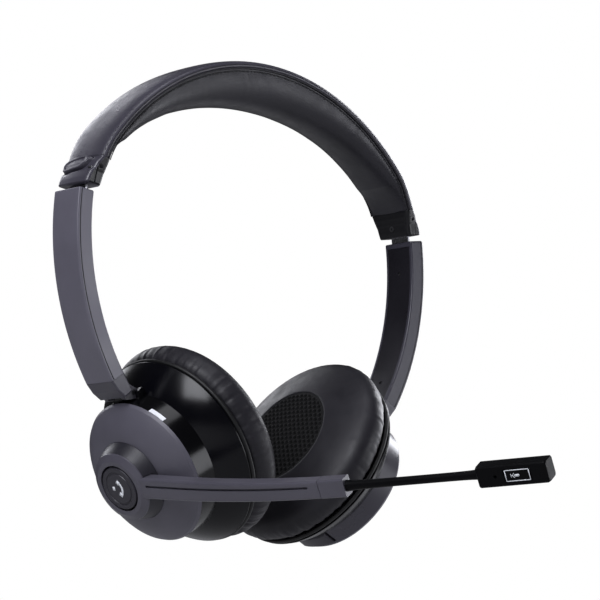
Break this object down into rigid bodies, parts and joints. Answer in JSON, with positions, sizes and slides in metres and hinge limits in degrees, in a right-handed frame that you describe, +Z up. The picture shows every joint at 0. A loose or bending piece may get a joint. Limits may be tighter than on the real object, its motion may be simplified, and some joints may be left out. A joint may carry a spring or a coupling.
{
  "type": "office headset",
  "caption": "Wireless on-ear office headset: padded headband, sliding arms, tilting round ear cups and a swinging boom microphone with a bendable neck.",
  "frame": {"origin": "midway between the two ear cushions, on the line through the wearer's ears", "axes": "+Z up to the headband, -Y the way the wearer faces and the boom points, +X the side without the boom"},
  "size_m": [0.172, 0.2054, 0.1763],
  "materials": {
    "shell": "matte",
    "shell_dark": "matte",
    "gloss": "polished",
    "leatherette": "satin",
    "pad_cloth": "matte",
    "steel": "brushed",
    "screw": "satin",
    "neck_rubber": "matte",
    "window": "satin",
    "board": "satin",
    "cell": "satin",
    "magnet": "satin",
    "wire": "satin"
  },
  "bodies": {
    "headband": {"headband_cover": "shell", "headband_spring": "steel", "headband_wire": "wire", "headband_cushion": "leatherette", "slider_strip_L": "steel", "slider_strip_R": "steel", "end_cap_outer_L": "shell", "end_cap_outer_R": "shell", "end_cap_inner_L": "shell_dark", "end_cap_inner_R": "shell_dark", "cap_fasteners": "screw"},
    "arm_L": {"arm_shell_L": "shell", "strip_guide_L": "shell_dark", "arm_cover_L": "shell", "arm_screws_L": "screw", "arm_fork_L": "shell", "tilt_pin_L": "screw"},
    "arm_R": {"arm_shell_R": "shell", "strip_guide_R": "shell_dark", "arm_cover_R": "shell", "arm_screws_R": "screw", "arm_fork_R": "shell", "tilt_pin_R": "screw"},
    "cup_L": {"disc_cover_L": "shell", "rim_housing_L": "shell", "status_window": "window", "bell_shell_L": "gloss", "cup_screws_L": "screw", "baffle_L": "shell_dark", "speaker_frame_L": "shell_dark", "speaker_magnet_L": "magnet", "diaphragm_L": "shell_dark", "ear_pad_L": "leatherette", "pad_centre_L": "pad_cloth", "circuit_board": "board", "charge_socket": "steel", "hub_axle": "shell_dark"},
    "cup_R": {"disc_cover_R": "shell", "rim_housing_R": "shell", "bell_shell_R": "gloss", "cup_screws_R": "screw", "baffle_R": "shell_dark", "speaker_frame_R": "shell_dark", "speaker_magnet_R": "magnet", "diaphragm_R": "shell_dark", "ear_pad_R": "leatherette", "pad_centre_R": "pad_cloth", "battery": "cell"},
    "boom": {"boom_hub": "shell", "boom_arm_outer": "shell", "boom_arm_inner": "shell", "boom_collar": "shell", "gooseneck_root": "neck_rubber"},
    "answer_button": {"answer_button": "shell"},
    "mic": {"gooseneck_tip": "neck_rubber", "mic_housing": "shell", "mic_cover": "shell", "mic_element": "steel"},
    "mute_button": {"mute_button": "shell"},
    "volume_rocker": {"volume_rocker": "shell"}
  },
  "joints": [
    {"name": "arm_slide_L", "type": "slide", "parent": "headband", "child": "arm_L", "axis": [-0.1392, 0, -0.9903], "range_m": [-0.0018, 0.016]},
    {"name": "arm_slide_R", "type": "slide", "parent": "headband", "child": "arm_R", "axis": [0.1392, 0, -0.9903], "range_m": [-0.0018, 0.016]},
    {"name": "cup_tilt_L", "type": "hinge", "parent": "arm_L", "child": "cup_L", "pos_m": [-0.05885, 0, 0.01352], "axis": [0, -1, 0], "range_deg": [-18, 4]},
    {"name": "cup_tilt_R", "type": "hinge", "parent": "arm_R", "child": "cup_R", "pos_m": [0.05885, 0, 0.01352], "axis": [0, 1, 0], "range_deg": [-18, 4]},
    {"name": "boom_swing", "type": "hinge", "parent": "cup_L", "child": "boom", "pos_m": [-0.0496, 0, -0.014], "axis": [-0.8788, 0, -0.4772], "range_deg": [-30, 250]},
    {"name": "answer_press", "type": "slide", "parent": "boom", "child": "answer_button", "axis": [0.8788, 0, 0.4772], "range_m": [0, 0.0006], "stiffness_N_per_m": 1500, "springref_m": -0.0003},
    {"name": "neck_bend", "type": "hinge", "parent": "boom", "child": "mic", "pos_m": [-0.03914, -0.12097, -0.02216], "axis": [-0.4748, -0.1, 0.8744], "range_deg": [-30, 30]},
    {"name": "mute_press", "type": "slide", "parent": "mic", "child": "mute_button", "axis": [0.8367, 0.2569, 0.4837], "range_m": [0, 0.0004], "stiffness_N_per_m": 1500, "springref_m": -0.0003},
    {"name": "volume_rock", "type": "hinge", "parent": "cup_R", "child": "volume_rocker", "pos_m": [0.03285, -0.00132, -0.03354], "axis": [0.8788, 0, -0.4772], "range_deg": [-3, 3], "stiffness_Nm_per_rad": 1}
  ]
}
